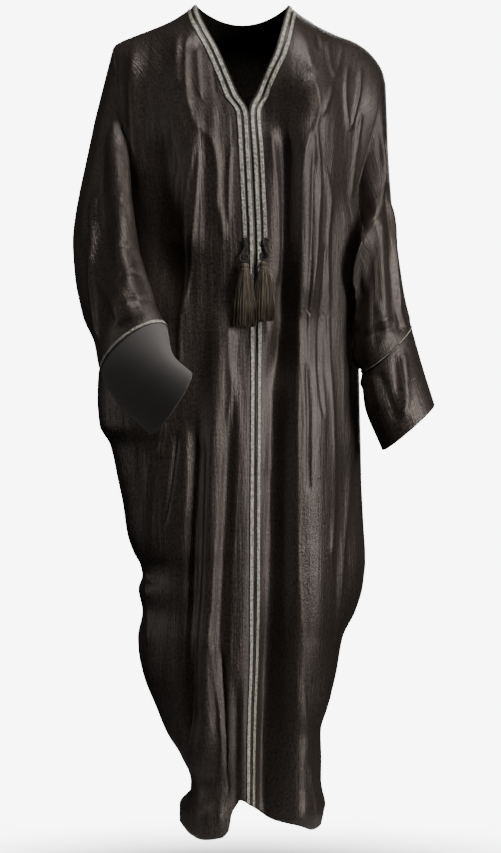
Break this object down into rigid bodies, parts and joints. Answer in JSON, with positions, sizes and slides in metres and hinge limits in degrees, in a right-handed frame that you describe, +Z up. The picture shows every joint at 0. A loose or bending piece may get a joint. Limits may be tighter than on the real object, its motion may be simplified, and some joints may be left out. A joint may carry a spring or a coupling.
{
  "type": "abaya",
  "caption": "Long loose abaya in dark satin crepe, worn form, V neck, wide open sleeves with plain cuffs, braided edges and silk tassels.",
  "frame": {"origin": "middle of the wearer's shoulders, level with the top of the shoulder seams, where the garment is held up", "axes": "+Z up along the garment's length, -Y the way the front faces, -X the wearer's right side"},
  "size_m": [0.65, 0.4549, 1.4901],
  "materials": {
    "satin_crepe": "soft satin sheen over a fine grain",
    "cuff_crepe": "matte",
    "metal_braid": "dull metallic thread",
    "tassel_silk": "silky",
    "tie_cord": "matte"
  },
  "bodies": {
    "root": {"front_right": "satin_crepe", "front_left": "satin_crepe", "back": "satin_crepe", "sleeve_right": "satin_crepe", "sleeve_left": "satin_crepe", "cuff_right": "cuff_crepe", "cuff_left": "cuff_crepe", "braid_inner_right": "metal_braid", "braid_inner_left": "metal_braid", "braid_outer_right": "metal_braid", "braid_outer_left": "metal_braid", "braid_neck_inner": "metal_braid", "braid_neck_outer": "metal_braid", "cuff_braid_right": "metal_braid", "cuff_braid_left": "metal_braid", "tassel_right": "tassel_silk", "tassel_left": "tassel_silk", "tie_right": "tie_cord", "tie_left": "tie_cord"}
  },
  "joints": []
}
